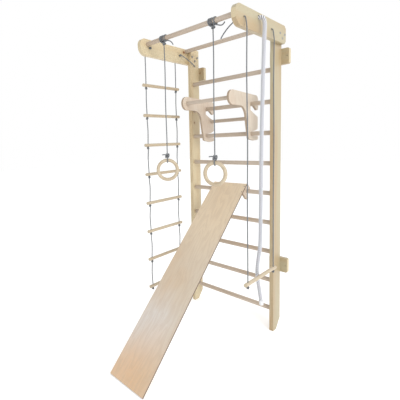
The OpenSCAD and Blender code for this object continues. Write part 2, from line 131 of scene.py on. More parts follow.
RING_ROUTE = [
    (0, 0, -0.040), (0, 0, -0.070), (0, 0.001, -0.120), (0, 0.002, -0.180), (0, 0.002, -0.240),
    (0, 0.001, -0.300), (0, 0, -0.360), (0, -0.001, -0.420), (0, -0.002, -0.480), (0, -0.002, -0.540),
    (0, -0.001, -0.600), (0, 0, -0.660), (0, 0.001, -0.720), (0, 0.001, -0.770), (0, 0, -0.820)]
ROPE_ROUTE = [
    (0, 0, 0), (0.008, 0, 0), (0.020, 0, -0.004), (0.029, 0, -0.013), (0.035, 0, -0.027),
    (0.038, 0, -0.044), (0.039, 0, -0.070), (0.036, 0.001, -0.120), (0.033, 0.002, -0.200),
    (0.029, 0.003, -0.300), (0.026, 0.003, -0.400), (0.024, 0.002, -0.500), (0.022, 0, -0.600),
    (0.020, -0.001, -0.700), (0.019, -0.002, -0.800), (0.018, -0.003, -0.900), (0.017, -0.004, -1.000),
    (0.016, -0.005, -1.100), (0.016, -0.006, -1.200), (0.015, -0.007, -1.300), (0.015, -0.008, -1.400),
    (0.014, -0.009, -1.470), (0.011, -0.009, -1.530), (0.005, -0.010, -1.580),
    (-0.002, -0.009, -1.625), (-0.008, -0.008, -1.670), (-0.011, -0.006, -1.710),
    (-0.011, -0.003, -1.745), (-0.008, 0, -1.785), (-0.004, 0.004, -1.825), (0.002, 0.009, -1.880),
    (0.007, 0.013, -1.925)]
TAIL_LEFT_ROUTE = [
    (0.018, 0.008, -0.002), (0.022, 0.016, -0.006), (0.026, 0.026, -0.011), (0.029, 0.038, -0.017),
    (0.032, 0.050, -0.023), (0.034, 0.062, -0.029), (0.036, 0.074, -0.035), (0.038, 0.086, -0.041),
    (0.040, 0.098, -0.047), (0.041, 0.110, -0.053), (0.042, 0.122, -0.059), (0.043, 0.134, -0.065),
    (0.043, 0.145, -0.071), (0.043, 0.156, -0.077), (0.042, 0.166, -0.084)]
TAIL_RIGHT_ROUTE = [
    (0.020, 0, -0.006), (0.030, 0, -0.010), (0.039, 0, -0.014), (0.048, 0, -0.018), (0.057, 0, -0.023),
    (0.066, 0, -0.028), (0.075, 0, -0.034), (0.083, 0, -0.040), (0.091, 0, -0.046), (0.099, 0, -0.053),
    (0.107, 0, -0.060), (0.114, 0, -0.067), (0.121, 0, -0.075), (0.128, 0, -0.083), (0.135, 0, -0.092)]
# The loose ends of the knots, from the middle of the knot: along the bar, towards the wall, up
RING_TAIL_ROUTE = [
    (0, 0, 0), (-0.008, -0.005, 0.005), (-0.015, -0.009, 0.008), (-0.022, -0.013, 0.009),
    (-0.029, -0.017, 0.008), (-0.035, -0.020, 0.006)]
BAR_TAIL_ROUTES = {
    "left": [
        (0.010, -0.004, 0.006), (0.018, -0.005, 0.008), (0.026, -0.006, 0.009), (0.034, -0.007, 0.009),
        (0.042, -0.008, 0.008), (0.050, -0.009, 0.006), (0.058, -0.010, 0.003), (0.065, -0.010, 0),
        (0.072, -0.011, -0.004), (0.078, -0.011, -0.008), (0.084, -0.012, -0.013),
        (0.089, -0.012, -0.018), (0.093, -0.012, -0.023), (0.097, -0.012, -0.029),
        (0.100, -0.012, -0.035)],
    "right": [
        (0.010, -0.004, 0.006), (0.017, -0.005, 0.006), (0.024, -0.006, 0.005), (0.031, -0.007, 0.003),
        (0.038, -0.008, 0), (0.045, -0.009, -0.003), (0.052, -0.010, -0.006), (0.059, -0.010, -0.009),
        (0.066, -0.011, -0.011), (0.073, -0.011, -0.012), (0.079, -0.012, -0.012),
        (0.084, -0.012, -0.010), (0.089, -0.012, -0.007), (0.093, -0.012, -0.003),
        (0.097, -0.012, 0.002)]}

# ---- Node graphs ----


class Graph:
    """The nodes of one material. Inputs are sockets or constants, keyed by socket name or number."""

    def __init__(self, name, **constants):
        self.material = bpy.data.materials.new(name)
        self.material.use_nodes = True
        self.tree = self.material.node_tree
        self.tree.nodes.clear()
        self.shader = self.add("ShaderNodeBsdfPrincipled", constants)
        output = self.add("ShaderNodeOutputMaterial")
        self.tree.links.new(self.shader.outputs[0], output.inputs["Surface"])

    def add(self, kind, inputs=None, **settings):
        node = self.tree.nodes.new(kind)
        for key, value in settings.items():
            setattr(node, key, value)
        for key, value in (inputs or {}).items():
            self.feed(node.inputs[key], value)
        return node

    def feed(self, socket, value):
        if isinstance(value, bpy.types.NodeSocket):
            self.tree.links.new(value, socket)
        elif socket.type == "RGBA":
            socket.default_value = (*value[:3], 1)
        else:
            socket.default_value = value

    def math(self, operation, a, b=0.0, c=0.0):
        return self.add("ShaderNodeMath", {0: a, 1: b, 2: c}, operation=operation).outputs[0]

    def vector(self, operation, a, b=(0, 0, 0)):
        node = self.add("ShaderNodeVectorMath", {0: a, 1: b}, operation=operation)
        return node.outputs["Value" if operation in ("LENGTH", "DISTANCE") else "Vector"]

    def scaled(self, vector, factors, shift=(0, 0, 0)):
        """The vector times three factors, moved by shift."""
        return self.vector("ADD", self.vector("MULTIPLY", vector, factors), shift)

    def noise(self, vector, scale=1.0, detail=2.0, roughness=0.5):
        inputs = {"Vector": vector, "Scale": scale, "Detail": detail, "Roughness": roughness}
        return self.add("ShaderNodeTexNoise", inputs).outputs[0]

    def between(self, value, low, high, to_low=0.0, to_high=1.0):
        """The value's place between low and high, as a number from to_low to to_high."""
        inputs = {0: value, 1: low, 2: high, 3: to_low, 4: to_high}
        return self.add("ShaderNodeMapRange", inputs, interpolation_type="SMOOTHSTEP").outputs[0]

    def mix(self, factor, a, b):
        return self.add("ShaderNodeMix", {0: factor, 6: a, 7: b}, data_type="RGBA").outputs[2]

    def finish(self, colour, roughness, height, distance):
        """Colour, roughness and bump into the shader. distance is the height's depth in metres."""
        self.feed(self.shader.inputs["Base Color"], colour)
        self.feed(self.shader.inputs["Roughness"], roughness)
        bump = self.add("ShaderNodeBump", {"Height": height, "Distance": distance, "Strength": 1.0})
        self.feed(self.shader.inputs["Normal"], bump.outputs[0])
        return self.material


def wood_place(g):
    """The point in the wood's own axes, in metres: along the grain, across it, and through the piece."""
    return g.add("ShaderNodeAttribute", attribute_name="wood", attribute_type="GEOMETRY").outputs["Vector"]


LACQUER = {"Coat Weight": 0.25, "Coat Roughness": 0.28}
PINE_PALE, PINE_WARM, PINE_LATE = (0.66, 0.575, 0.385), (0.62, 0.49, 0.295), (0.37, 0.25, 0.125)
# Darker pine, used as painted shade: the right post and arm are a shaded copy of the left ones' pine. The
# wall blocks use the same darker pine.
PINE_SHADE_PALE, PINE_SHADE_WARM = (0.46, 0.42, 0.285), (0.45, 0.34, 0.20)
BEECH_PALE, BEECH_WARM, BEECH_FLECK = (0.52, 0.44, 0.36), (0.45, 0.36, 0.275), (0.20, 0.14, 0.095)
BIRCH_PALE, BIRCH_WARM = (0.56, 0.475, 0.345), (0.49, 0.395, 0.27)
PLY_PALE, PLY_WARM, PLY_FIGURE = (0.63, 0.535, 0.415), (0.62, 0.475, 0.33), (0.48, 0.355, 0.25)
PLY_GREY, PLY_PINK = (0.66, 0.58, 0.48), (0.62, 0.505, 0.40)
KNOT_BROWN = (0.24, 0.10, 0.04)
GLUE = (0.20, 0.11, 0.06)
PINE_YEAR, HARD_YEAR = 0.0042, 0.0023    # from one growth ring to the next
PITH = (0, 0.021, 0.070)                 # where the rings' middle lies from the middle of each piece


def pine_rings(g, place, knots):
    """Growth rings as a plank cuts them: (latewood, how close the nearest knot is, its own place)."""
    wander = g.noise(g.scaled(place, (1.3, 9, 9)), detail=2)
    away = g.vector("MULTIPLY", place, (0, 1, 1))
    radius = g.vector("DISTANCE", away, PITH)
    radius = g.math("ADD", radius, g.math("MULTIPLY", wander, 0.030))
    closest = None
    for along, up, _ in knots:
        distance = g.vector("DISTANCE", g.vector("MULTIPLY", place, (0.75, 0, 1)), (along * 0.75, 0, up))
        radius = g.math("ADD", radius, g.between(distance, 0.006, 0.050, 0.013, 0.0))
        closest = distance if closest is None else g.math("MINIMUM", closest, distance)
    year = g.math("FRACT", g.math("MULTIPLY", radius, 1 / PINE_YEAR))
    rise = g.between(year, 0.35, 0.86)
    fall = g.between(year, 0.90, 1.0, 1.0, 0.0)
    return g.math("MULTIPLY", rise, fall), closest


def pine(name, pale, warm, knots):
    """Planed, lacquered pine. knots are (along the grain, up the wide side, radius) in metres."""
    g = Graph(name, **LACQUER)
    place = wood_place(g)
    late, near = pine_rings(g, place, knots)
    fibres = g.noise(g.scaled(place, (14, 900, 900)), detail=3, roughness=0.6)
    tone = g.noise(g.scaled(place, (1.1, 12, 12), (3, 1, 2)), detail=3)
    base = g.mix(g.between(tone, 0.32, 0.68), pale, warm)
    base = g.mix(g.math("MULTIPLY", late, 0.42), base, PINE_LATE)
    base = g.mix(g.between(fibres, 0.35, 0.75, 0.0, 0.16), base, PINE_LATE)
    height = g.math("ADD", g.math("MULTIPLY", late, 0.4), g.math("MULTIPLY", fibres, 0.5))
    if near is not None:
        radius = knots[0][2]
        wave = g.math("MULTIPLY_ADD", g.math("SINE", g.math("MULTIPLY", near, 2600)), 0.08, 0.9)
        heart = g.between(near, radius * 0.72, radius * 1.08, wave, 0.0)
        halo = g.between(near, radius, radius * 3.2, 0.35, 0.0)
        base = g.mix(halo, base, PINE_LATE)
        base = g.mix(heart, base, KNOT_BROWN)
    return g.finish(base, g.between(fibres, 0.2, 0.8, 0.38, 0.52), height, 0.00025)


def dowel_wood(name, pale, warm, fleck_colour):
    """Turned hardwood: fine, with short dark flecks along the grain."""
    g = Graph(name, **LACQUER)
    place = wood_place(g)
    tone = g.noise(g.scaled(place, (2.2, 30, 30)), detail=3)
    fibres = g.noise(g.scaled(place, (12, 620, 620)), detail=3, roughness=0.6)
    fleck = g.noise(g.scaled(place, (150, 1500, 1500), (5, 2, 7)), detail=1)
    stripe = g.noise(g.scaled(place, (1.0, 120, 120), (1, 4, 3)), detail=2)
    base = g.mix(g.between(tone, 0.3, 0.7), pale, warm)
    base = g.mix(g.between(stripe, 0.45, 0.8, 0.0, 0.45), base, warm)
    base = g.mix(g.between(fleck, 0.64, 0.74, 0.0, 0.5), base, fleck_colour)
    return g.finish(base, g.between(fibres, 0.2, 0.8, 0.36, 0.5), fibres, 0.0002)


def end_grain(name, pale, dark, ring):
    """Sawn and sanded end grain, ring metres from one year to the next."""
    g = Graph(name)
    place = wood_place(g)
    away = g.vector("MULTIPLY", place, (0, 1, 1))
    wander = g.noise(g.scaled(away, (1, 40, 40)), detail=2)
    radius = g.math("ADD", g.vector("DISTANCE", away, PITH), g.math("MULTIPLY", wander, 0.006))
    year = g.math("FRACT", g.math("MULTIPLY", radius, 1 / ring))
    late = g.math("MULTIPLY", g.between(year, 0.3, 0.85), g.between(year, 0.9, 1.0, 1.0, 0.0))
    pores = g.noise(g.scaled(away, (1, 2200, 2200)), detail=1)
    base = g.mix(g.math("MULTIPLY", late, 0.55), pale, dark)
    base = g.mix(g.between(pores, 0.55, 0.75, 0.0, 0.35), base, dark)
    return g.finish(base, 0.62, pores, 0.0002)


def ply_face(name, pale, warm, patches=()):
    """Birch veneer peeled from the log: broad soft figure and fine short pores.
    patches are (along the grain, across it, radius, colour, strength): spots where the sheet changes its
    tone, and painted reflections."""
    g = Graph(name, **LACQUER)
    place = wood_place(g)
    drift = g.noise(g.scaled(place, (0.9, 5.5, 5.5)), detail=4, roughness=0.55)
    contour = g.math("FRACT", g.math("MULTIPLY", drift, 16))
    figure = g.math("MULTIPLY", g.between(contour, 0.2, 0.8), g.between(contour, 0.85, 1.0, 1.0, 0.0))
    cloud = g.noise(g.scaled(place, (2.0, 4.0, 4.0), (7, 3, 1)), detail=3)
    pores = g.noise(g.scaled(place, (70, 1100, 1100)), detail=2, roughness=0.6)
    shimmer = g.noise(g.scaled(place, (60, 22, 22), (2, 2, 2)), detail=2)
    base = g.mix(g.between(cloud, 0.35, 0.68), pale, warm)
    # Patches of the sheet's own tone, and painted reflections, each faded out at its radius.
    for along, across, radius, colour, strength in patches:
        away = g.vector("DISTANCE", g.vector("MULTIPLY", place, (0.7, 1, 0)), (along * 0.7, across, 0))
        away = g.math("ADD", away, g.math("MULTIPLY_ADD", cloud, 0.3, -0.15))
        base = g.mix(g.between(away, 0.2 * radius, radius, strength, 0.0), base, colour)
    base = g.mix(g.math("MULTIPLY", figure, 0.22), base, PLY_FIGURE)
    base = g.mix(g.between(pores, 0.55, 0.78, 0.0, 0.30), base, PLY_FIGURE)
    base = g.mix(g.between(shimmer, 0.35, 0.7, 0.0, 0.12), base, pale)
    height = g.math("ADD", g.math("MULTIPLY", pores, 0.6), g.math("MULTIPLY", figure, 0.2))
    return g.finish(base, g.between(pores, 0.25, 0.8, 0.36, 0.5), height, 0.00018)


def ply_edge(name, plies, thickness, pale, dark):
    """Sanded plywood edge: plies in turn along and across, with thin dark glue lines."""
    g = Graph(name)
    place = wood_place(g)
    depth = g.add("ShaderNodeSeparateXYZ", {0: place}).outputs["Z"]
    rough = g.noise(g.scaled(place, (240, 240, 900)), detail=2)
    depth = g.math("ADD", depth, g.math("MULTIPLY_ADD", rough, 0.0003, thickness / 2 - 0.00015))
    layer = g.math("MULTIPLY", depth, plies / thickness)
    odd = g.math("GREATER_THAN", g.math("FRACT", g.math("MULTIPLY", layer, 0.5)), 0.5)
    glue = g.math("ABSOLUTE", g.math("SUBTRACT", g.math("FRACT", g.math("ADD", layer, 0.5)), 0.5))
    base = g.mix(odd, pale, dark)
    base = g.mix(g.between(rough, 0.4, 0.8, 0.0, 0.3), base, pale)
    base = g.mix(g.between(glue, 0.0, 0.09, 0.55, 0.0), base, GLUE)
    height = g.math("SUBTRACT", g.math("MULTIPLY", rough, 0.5), g.math("MULTIPLY", odd, 0.5))
    return g.finish(base, 0.6, height, 0.00025)


def braid(name, pale, dark):
    """Matt braided cord: the weave is in the mesh, the yarns and their specks are here."""
    g = Graph(name, **{"Sheen Weight": 0.25, "Sheen Roughness": 0.5})
    turn = g.add("ShaderNodeUVMap", uv_map="run").outputs[0]
    cord_round = 0.0251
    waves = {"Vector": g.scaled(turn, (1, cord_round, 0)), "Scale": 260.0, "Distortion": 1.5,
             "Detail": 2.0, "Detail Scale": 3.0}
    yarn = g.add("ShaderNodeTexWave", waves, bands_direction="DIAGONAL").outputs[1]
    speck = g.noise(g.scaled(turn, (900, 24, 0)), detail=2)
    shade = g.noise(g.scaled(turn, (22, 1, 0)), detail=2)
    base = g.mix(g.between(speck, 0.35, 0.7), dark, pale)
    base = g.mix(g.between(yarn, 0.0, 0.5, 0.35, 0.0), base, dark)
    base = g.mix(g.between(shade, 0.35, 0.7, 0.0, 0.2), base, dark)
    return g.finish(base, 0.78, yarn, 0.0003)


def laid_rope(name):
    """Soft white laid rope: painted shade in the grooves between its four strands, with fine yarns along
    each.
    """
    g = Graph(name, **{"Sheen Weight": 0.3, "Sheen Roughness": 0.5})
    turn = g.add("ShaderNodeUVMap", uv_map="run").outputs[0]
    axes = g.add("ShaderNodeSeparateXYZ", {0: turn})
    along, round_it = axes.outputs["X"], axes.outputs["Y"]
    strand = g.math("SUBTRACT", g.math("MULTIPLY", round_it, ROPE_STRANDS),
                    g.math("MULTIPLY", along, ROPE_STRANDS / ROPE_PITCH))
    off = g.math("ABSOLUTE", g.math("SUBTRACT", g.math("FRACT", strand), 0.5))
    groove_shade = g.between(off, 0.20, 0.42)
    yarn = g.math("SINE", g.math("MULTIPLY_ADD", strand, 38, g.math("MULTIPLY", along, 900)))
    fuzz = g.noise(g.scaled(turn, (700, 30, 0)), detail=3)
    base = g.mix(g.between(fuzz, 0.3, 0.7), (0.80, 0.81, 0.85), (0.70, 0.71, 0.75))
    base = g.mix(g.between(yarn, 0.2, 1.0, 0.0, 0.25), base, (0.42, 0.42, 0.48))
    # Painted shade: the grooves between the strands are darkened in the colour.
    base = g.mix(g.math("MULTIPLY", groove_shade, 0.9), base, (0.07, 0.07, 0.10))
    height = g.math("ADD", g.math("MULTIPLY", yarn, 0.3), fuzz)
    return g.finish(base, 0.82, height, 0.0004)


def plated(name):
    """Zinc-plated steel, dark and slightly mottled."""
    g = Graph(name, **{"Metallic": 1.0})
    place = g.add("ShaderNodeTexCoord").outputs["Object"]
    mottle = g.noise(g.scaled(place, (260, 260, 260)), detail=3)
    scratch = g.noise(g.scaled(place, (90, 2400, 600)), detail=2)
    base = g.mix(g.between(mottle, 0.3, 0.7), (0.30, 0.30, 0.31), (0.44, 0.43, 0.42))
    return g.finish(base, g.between(mottle, 0.3, 0.7, 0.30, 0.46), scratch, 0.00008)


def wrap_film(name):
    """The shrunk film round the rope's end: glossy, slightly milky, with creases."""
    g = Graph(name, **{"Coat Weight": 0.6, "Coat Roughness": 0.12})
    place = g.add("ShaderNodeTexCoord").outputs["Object"]
    crease = g.noise(g.scaled(place, (150, 150, 420)), detail=3)
    cloud = g.noise(g.scaled(place, (60, 60, 60)), detail=2)
    base = g.mix(g.between(cloud, 0.3, 0.7), (0.80, 0.80, 0.81), (0.70, 0.71, 0.73))
    return g.finish(base, g.between(crease, 0.2, 0.8, 0.12, 0.3), crease, 0.0008)


POST_KNOTS = [(0.52, -0.02, 0.007), (-0.71, 0.027, 0.007)]
ARM_KNOTS = [(0.178, 0.034, 0.013)]
BLOCK_KNOTS = [(3.030, 0.012, 0.006)]
BOARD_TONES_AND_REFLECTION = [
    (12.70, 0.0, 0.50, (0.77, 0.62, 0.43), 0.7),
    # This pale bluish patch is a painted reflection; the other two patches are the sheet's own tone.
    (11.50, 0.08, 0.30, (0.69, 0.665, 0.645), 0.75),
    (11.16, 0.03, 0.34, (0.72, 0.46, 0.255), 0.75)]
# Painted shade: the right post and arm take a darker copy of the pine than the left ones.
PINE_POST = [pine("pine_post_left", PINE_PALE, PINE_WARM, POST_KNOTS),
             pine("pine_post_right_shaded", PINE_SHADE_PALE, PINE_SHADE_WARM, POST_KNOTS)]
PINE_ARM = [pine("pine_arm_left", PINE_PALE, PINE_WARM, ARM_KNOTS),
            pine("pine_arm_right_shaded", PINE_SHADE_PALE, PINE_SHADE_WARM, ARM_KNOTS)]
PINE_BLOCK = pine("pine_block", PINE_SHADE_PALE, PINE_SHADE_WARM, BLOCK_KNOTS)
PINE_END = end_grain("pine_end", PINE_PALE, PINE_LATE, PINE_YEAR)
BEECH = dowel_wood("beech", BEECH_PALE, BEECH_WARM, BEECH_FLECK)
BIRCH = dowel_wood("birch", BIRCH_PALE, BIRCH_WARM, BEECH_FLECK)
BEECH_END = end_grain("beech_end", BEECH_PALE, BEECH_WARM, HARD_YEAR)
BIRCH_END = end_grain("birch_end", BIRCH_PALE, BIRCH_WARM, HARD_YEAR)
VENEER = ply_face("birch_veneer", PLY_GREY, PLY_PINK)
BOARD_VENEER = ply_face("board_veneer", PLY_PALE, PLY_WARM, BOARD_TONES_AND_REFLECTION)
# Painted shade: the slide board's thin edge is coloured nearly black for the shade along it.
EDGE_BOARD_SHADED = ply_edge("ply_edge_board_shaded", 7, 0.010, (0.22, 0.16, 0.12), (0.13, 0.09, 0.065))
EDGE_BRACKET = ply_edge("ply_edge_bracket", 13, 0.018, (0.48, 0.38, 0.28), (0.30, 0.22, 0.155))
GREY_CORD = braid("grey_cord", (0.26, 0.28, 0.295), (0.10, 0.105, 0.115))
WHITE_ROPE = laid_rope("white_rope")
STEEL = plated("plated_steel")
FILM = wrap_film("rope_film")


# ---- Mesh tools ----


def new_object(name, mesh, node):
    """An object on the same body as that CAD node, with the node's material slot."""
    obj = bpy.data.objects.new(name, mesh)
    bpy.context.collection.objects.link(obj)
    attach(obj, BODY[node])
    return obj


def smooth(mesh, angle=35):
    for polygon in mesh.polygons:
        polygon.use_smooth = True
    mesh.set_sharp_from_angle(angle=math.radians(angle))


def refined(node, grain, materials, shift, through=None, bevel=0.002):
    """The CAD node again with rounded edges, and with the point in the wood's own axes on each vertex.
    materials are (long grain, end grain), or (veneer, edge) for plywood, whose thickness axis is through.
    shift moves the figure along the grain."""
    bm = bmesh.new()
    bm.from_mesh(frame["nodes"][node].data)
    bmesh.ops.remove_doubles(bm, verts=bm.verts, dist=1e-6)
    bmesh.ops.dissolve_limit(bm, angle_limit=math.radians(0.4), verts=bm.verts, edges=bm.edges)
    corners = [e for e in bm.edges if len(e.link_faces) == 2 and e.calc_face_angle() > math.radians(38)]
    bmesh.ops.bevel(bm, geom=corners, offset=bevel, segments=3, profile=0.5, affect="EDGES",
                    clamp_overlap=True)
    mesh = bpy.data.meshes.new(node)
    bm.to_mesh(mesh)
    bm.free()
    along = grain.normalized()
    deep = through or (UP if abs(along.z) < 0.5 else DEEP)
    deep = (deep - deep.dot(along) * along).normalized()
    across = deep.cross(along)
    heart = middle(node)
    places = mesh.attributes.new("wood", "FLOAT_VECTOR", "POINT")
    for vertex in mesh.vertices:
        offset = vertex.co - heart
        places.data[vertex.index].vector = (offset.dot(along) + shift, offset.dot(across), offset.dot(deep))
    for material in materials:
        mesh.materials.append(material)
    for polygon in mesh.polygons:
        if through:
            polygon.material_index = int(abs(polygon.normal.dot(deep)) < 0.92)
        else:
            polygon.material_index = int(abs(polygon.normal.dot(along)) > 0.92)
    smooth(mesh)
    obj = new_object(node + "_look", mesh, node)
    weighted = obj.modifiers.new("weighted_normals", "WEIGHTED_NORMAL")
    weighted.keep_sharp = True
    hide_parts(node)
    return obj


def unit(v):
    return v.normalized() if v.length > 1e-12 else Vector((0, 0, 1))


def smooth_path(points, step):
    """Points a step apart on the smooth curve through the given ones."""
    points = [Vector(p) for p in points]
    ends = [2 * points[0] - points[1]] + points + [2 * points[-1] - points[-2]]
    dense = []
    for a, b, c, d in zip(ends, ends[1:], ends[2:], ends[3:]):
        count = max(2, int((c - b).length / step * 3))
        for k in range(count):
            t = k / count
            dense.append(0.5 * (2 * b + (c - a) * t + (2 * a - 5 * b + 4 * c - d) * t ** 2
                                + (3 * b - a - 3 * c + d) * t ** 3))
    dense.append(points[-1])
    lengths = [0.0]
    for a, b in zip(dense, dense[1:]):
        lengths.append(lengths[-1] + (b - a).length)
    count = max(2, round(lengths[-1] / step))
    path, place = [], 0
    for k in range(count + 1):
        goal = lengths[-1] * k / count
        while place < len(dense) - 2 and lengths[place + 1] < goal:
            place += 1
        span = lengths[place + 1] - lengths[place]
        path.append(dense[place].lerp(dense[place + 1], (goal - lengths[place]) / span if span else 0))
    return path


def path_length(path):
    return sum((b - a).length for a, b in zip(path, path[1:]))


def tube_geometry(path, profile, sides, closed=False):
    """(vertices, faces, uvs) of a tube. profile(run, turn) is its radius at that length and angle."""
    count = len(path)
    tangents = []
    for i in range(count):
        before = path[(i - 1) % count] if closed else path[max(i - 1, 0)]
        after = path[(i + 1) % count] if closed else path[min(i + 1, count - 1)]
        tangents.append(unit(after - before))
    normal = unit(tangents[0].orthogonal())
    vertices, runs, run = [], [], 0.0
    for i, (point, tangent) in enumerate(zip(path, tangents)):
        normal = unit(normal - normal.dot(tangent) * tangent)
        side = tangent.cross(normal)
        if i:
            run += (point - path[i - 1]).length
        runs.append(run)
        for k in range(sides):
            turn = 2 * math.pi * k / sides
            vertices.append(point + profile(run, turn) * (math.cos(turn) * normal + math.sin(turn) * side))
    faces, uvs = [], []
    spans = count if closed else count - 1
    for i in range(spans):
        j = (i + 1) % count
        end = runs[j] if j else run + (path[0] - path[-1]).length
        for k in range(sides):
            m = (k + 1) % sides
            faces.append((i * sides + k, i * sides + m, j * sides + m, j * sides + k))
            near, far = k / sides, (k + 1) / sides
            uvs += [(runs[i], near), (runs[i], far), (end, far), (end, near)]
    if not closed:
        last = (count - 1) * sides
        faces.append(tuple(range(sides - 1, -1, -1)))
        faces.append(tuple(range(last, last + sides)))
        uvs += [(0, k / sides) for k in range(sides - 1, -1, -1)]
        uvs += [(run, k / sides) for k in range(sides)]
    return vertices, faces, uvs


def mesh_of(name, parts, material):
    """One mesh of several (vertices, faces, uvs)."""
    vertices, faces, uvs = [], [], []
    for part_vertices, part_faces, part_uvs in parts:
        base = len(vertices)
        vertices += part_vertices
        faces += [tuple(base + v for v in face) for face in part_faces]
        uvs += part_uvs
    mesh = bpy.data.meshes.new(name)
    mesh.from_pydata(vertices, [], faces)
    layer = mesh.uv_layers.new(name="run")
    for corner, uv in zip(layer.data, uvs):
        corner.uv = uv
    mesh.materials.append(material)
    smooth(mesh, 60)
    mesh.validate()
    return mesh


def braided(radius):
    """Radius of a braided cord: bumps where its carriers cross."""
    pitch, bump, carriers = 0.0100, 0.045, 8

    def profile(run, turn):
        crossing = math.cos(carriers * turn) * math.cos(2 * math.pi * run / pitch)
        return radius * (1 - bump + bump * crossing)
    return profile


def cord_tube(path, diameter=CORD, closed=False):
    """A braided cord along the path."""
    return tube_geometry(path, braided(diameter / 2), CORD_SIDES, closed)


def laid(radius, pitch=ROPE_PITCH):
    """Radius of a laid rope: strands side by side, winding to the right."""
    centre, strand = 0.56 * radius, 0.44 * radius
    wedge = 2 * math.pi / ROPE_STRANDS

    def profile(run, turn):
        off = (turn - 2 * math.pi * run / pitch) % wedge - wedge / 2
        return centre * math.cos(off) + math.sqrt(strand ** 2 - (centre * math.sin(off)) ** 2)
    return profile


# ---- Cords ----


def hung(route, side, y, z):
    """The route in the part's frame, from an exit in the outer face of that arm."""
    return [Vector((side * (arm_face + out), y + back, z + up)) for out, back, up in route]


def free_cord(node, points, name=None):
    """A free braided cord along the points. It replaces the node, unless it has a name of its own."""
    path = smooth_path(points, CORD_STEP)
    mesh = mesh_of(name or node, [cord_tube(path)], GREY_CORD)
    obj = new_object((name or node) + "_look", mesh, node)
    if name is None:
        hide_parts(node)
    return obj


bar_knots = {place: Vector((middle(f"ring_cord_{place}").x, bar_y, bar_z - BAR_KNOT_DROP)) for place in SIDES}
for place, y in hole_ys.items():
    free_cord(f"ladder_rope_{place}", hung(LADDER_ROUTE, LEFT, y, cord_hole_z))
    free_cord(f"trapeze_rope_{place}", hung(TRAPEZE_ROUTE, RIGHT, y, cord_hole_z))

for place in SIDES:
    start = Vector((bar_knots[place].x, bar_y, bar_z))
    foot = Vector((start.x, start.y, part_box(f"ring_cord_{place}")[0][2]))
    free_cord(f"ring_cord_{place}", [start + Vector(p) for p in RING_ROUTE] + [foot])
    tail = [bar_knots[place] + Vector(p) for p in BAR_TAIL_ROUTES[place]]
    free_cord(f"bar_knot_{place}", tail, name=f"bar_tail_{place}")

for place, route, hole in (("left", TAIL_LEFT_ROUTE, "rear"), ("right", TAIL_RIGHT_ROUTE, "front")):
    tail = [Vector((SIDES[place] * (arm_inner - inward), hole_ys[hole] + back, cord_hole_z + up))
            for inward, back, up in route]
    free_cord(f"cord_tail_{place}", tail)

rope_path = smooth_path(hung(ROPE_ROUTE, RIGHT, rope_hole_y, rope_hole_z), ROPE_STEP)
rope_mesh = mesh_of("climbing_rope", [tube_geometry(rope_path, laid(ROPE / 2), ROPE_SIDES)], WHITE_ROPE)
rope = new_object("climbing_rope_look", rope_mesh, "climbing_rope")
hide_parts("climbing_rope")


# ---- Wood ----

DOWEL, THIN_DOWEL = (BEECH, BEECH_END), (BIRCH, BIRCH_END)
board_face = max(frame["nodes"]["slide_board"].data.polygons, key=lambda p: p.area).normal.copy()
if board_face.z < 0:
    board_face.negate()
slide_up = Vector((0, board_face.z, -board_face.y))

for k, place in enumerate(SIDES):
    refined(f"post_{place}", UP, (PINE_POST[k], PINE_END), bevel=0.004, shift=1.7 * k)
    refined(f"arm_{place}", DEEP, (PINE_ARM[k], PINE_END), bevel=0.004, shift=2.3 * k)
    refined(f"pullup_bracket_{place}", UP, (VENEER, EDGE_BRACKET), through=WIDE, bevel=0.002, shift=0.6 * k)
    refined(f"slide_hook_{place}", slide_up, (VENEER, EDGE_BRACKET), through=WIDE, bevel=0.001, shift=0.9 + k)
    refined(f"ring_{place}", WIDE, (BIRCH, BIRCH), bevel=0.0015, shift=5.1 + k)
    for m, height in enumerate(("upper", "lower")):
        refined(f"wall_block_{height}_{place}", WIDE, (PINE_BLOCK, PINE_END), shift=3 + k + 2 * m)
for i in range(1, 10):
    refined(f"wall_rung_{i}", WIDE, DOWEL, shift=0.83 * i)
for i in range(1, 9):
    refined(f"ladder_rung_{i}", DEEP, THIN_DOWEL, shift=9 + 0.71 * i)
for k, node in enumerate(("front_bar", "rear_bar", "pullup_bar", "pullup_grip_bar")):
    refined(node, WIDE, DOWEL, shift=20 + k)
refined("trapeze_stick", DEEP, THIN_DOWEL, shift=31)
refined("slide_board", slide_up, (BOARD_VENEER, EDGE_BOARD_SHADED), through=board_face, bevel=0.0015, shift=12)
refined("slide_batten", WIDE, (VENEER, EDGE_BRACKET), through=board_face, bevel=0.001, shift=14)


# ---- Knots ----


def trefoil(middle_point, axis, reach, cord_r, tall, turn):
    """Path of a pulled-tight overhand knot of outer radius reach, and half height tall along its axis."""
    scale = (reach - cord_r) / 3
    spin = axis.to_track_quat("Z", "Y").to_matrix() @ Matrix.Rotation(turn, 3, "Z")
    count = 56
    path = []
    for k in range(count):
        t = 2 * math.pi * k / count
        x = scale * (math.sin(t) + 2 * math.sin(2 * t))
        y = scale * (math.cos(t) - 2 * math.cos(2 * t))
        z = (tall - cord_r) * -math.sin(3 * t)
        path.append(middle_point + spin @ Vector((x, y, z)))
    return path


def knot_geometry(middle_point, axis, reach, tall, turn, cord_r=0.0034):
    """An overhand knot in braided cord, its ends left out."""
    return cord_tube(trefoil(middle_point, axis, reach, cord_r, tall, turn), 2 * cord_r, closed=True)


def straight(a, b, step=CORD_STEP):
    """Evenly spaced points from a to b."""
    count = max(2, round((b - a).length / step))
    return [a.lerp(b, k / count) for k in range(count + 1)]


def cord_piece(node, parts, material=GREY_CORD):
    """One object of several tubes in the place of the node."""
    obj = new_object(node + "_look", mesh_of(node, parts, material), node)
    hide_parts(node)
    return obj


